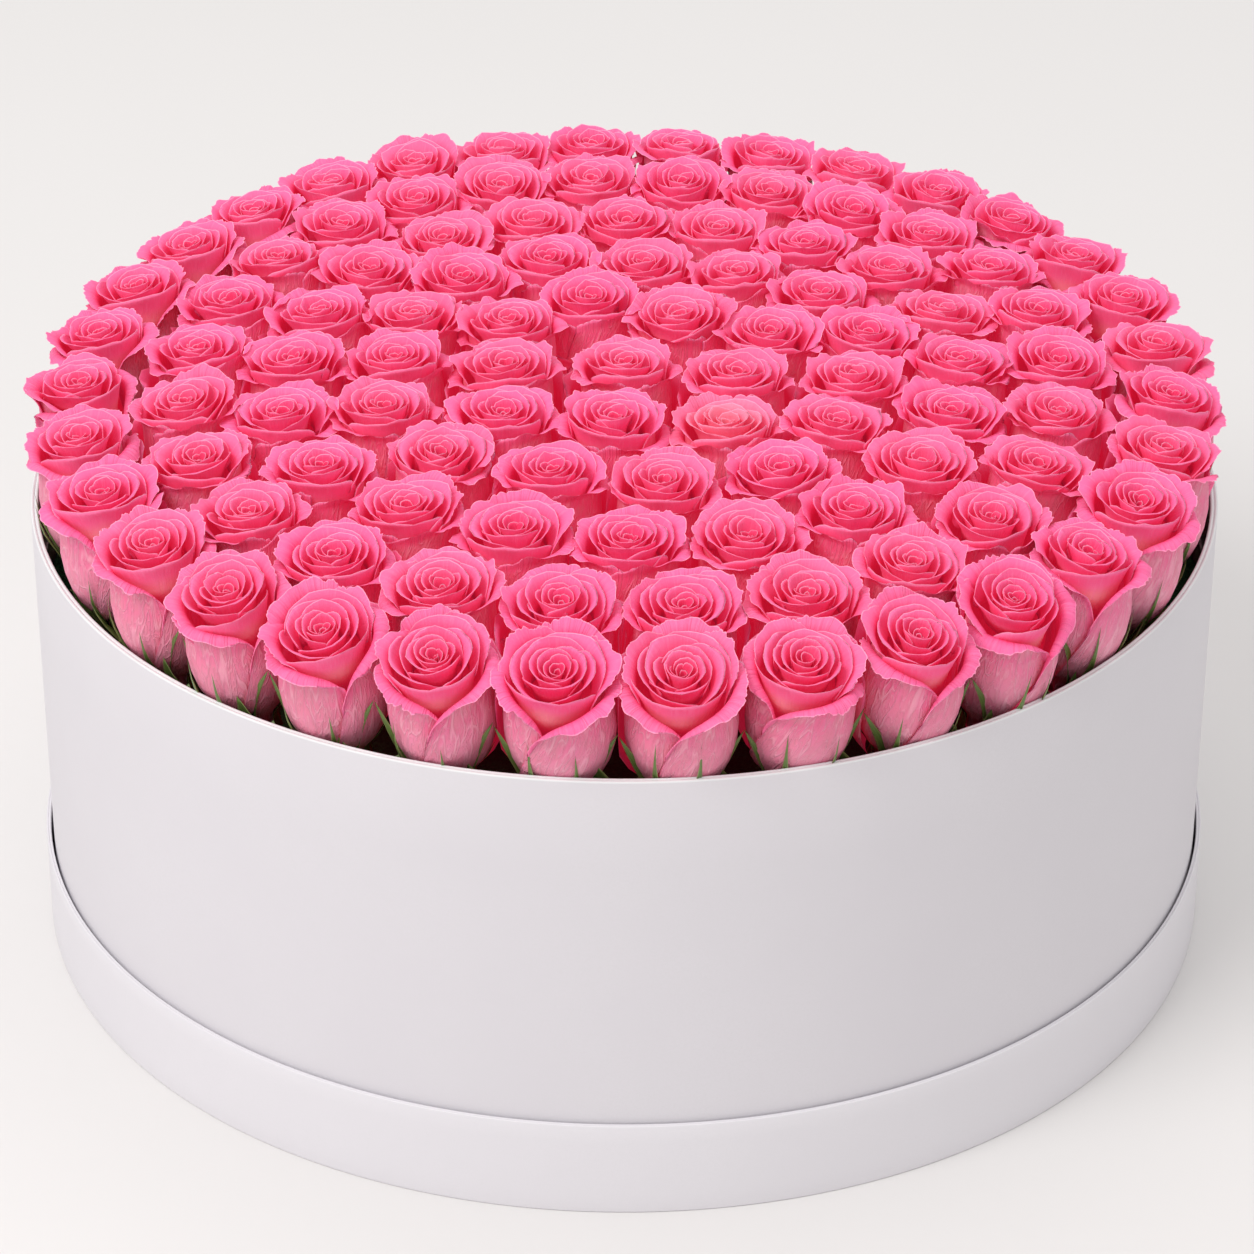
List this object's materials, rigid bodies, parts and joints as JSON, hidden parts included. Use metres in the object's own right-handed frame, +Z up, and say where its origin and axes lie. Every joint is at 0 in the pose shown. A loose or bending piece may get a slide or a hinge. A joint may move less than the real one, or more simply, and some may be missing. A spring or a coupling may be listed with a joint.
{
  "type": "rose box",
  "caption": "Round lidded board box packed with rings of short-stemmed pink roses standing in wet foam; a free-standing flower arrangement for a table or floor.",
  "frame": {"origin": "on the surface that the box stands on, under the middle of the box", "axes": "+Z up, -Y towards the viewer of the picture, +X to the right"},
  "size_m": [0.5062, 0.5152, 0.2547],
  "materials": {
    "board": "paper-wrapped board, pale lilac grey, satin",
    "petals": "fresh rose petals, hot pink inside and pale pink outside, soft matte with a faint sheen",
    "greens": "green sepals, cups, leaves and stems, slightly waxy",
    "foam": "wet green floral foam, fine open grain",
    "liner": "thin pale waterproof plastic"
  },
  "bodies": {
    "root": {"base_lid": "board", "box_body": "board", "floral_foam": "foam", "greens_ring1": "greens", "greens_ring2": "greens", "greens_ring3": "greens", "greens_ring4": "greens", "greens_ring5": "greens", "liner": "liner", "rose_centre": "petals", "roses_ring1_01": "petals", "roses_ring1_02": "petals", "roses_ring1_03": "petals", "roses_ring1_04": "petals", "roses_ring2_01": "petals", "roses_ring2_02": "petals", "roses_ring2_03": "petals", "roses_ring2_04": "petals", "roses_ring2_05": "petals", "roses_ring2_06": "petals", "roses_ring2_07": "petals", "roses_ring3_01": "petals", "roses_ring3_02": "petals", "roses_ring3_03": "petals", "roses_ring3_04": "petals", "roses_ring3_05": "petals", "roses_ring3_06": "petals", "roses_ring3_07": "petals", "roses_ring3_08": "petals", "roses_ring3_09": "petals", "roses_ring3_10": "petals", "roses_ring4_01": "petals", "roses_ring4_02": "petals", "roses_ring4_03": "petals", "roses_ring4_04": "petals", "roses_ring4_05": "petals", "roses_ring4_06": "petals", "roses_ring4_07": "petals", "roses_ring4_08": "petals", "roses_ring4_09": "petals", "roses_ring4_10": "petals", "roses_ring4_11": "petals", "roses_ring4_12": "petals", "roses_ring4_13": "petals", "roses_ring5_01": "petals", "roses_ring5_02": "petals", "roses_ring5_03": "petals", "roses_ring5_04": "petals", "roses_ring5_05": "petals", "roses_ring5_06": "petals", "roses_ring5_07": "petals", "roses_ring5_08": "petals", "roses_ring5_09": "petals", "roses_ring5_10": "petals", "roses_ring5_11": "petals", "roses_ring5_12": "petals", "roses_ring5_13": "petals", "roses_ring5_14": "petals", "roses_ring5_15": "petals", "roses_ring5_16": "petals"}
  },
  "joints": []
}
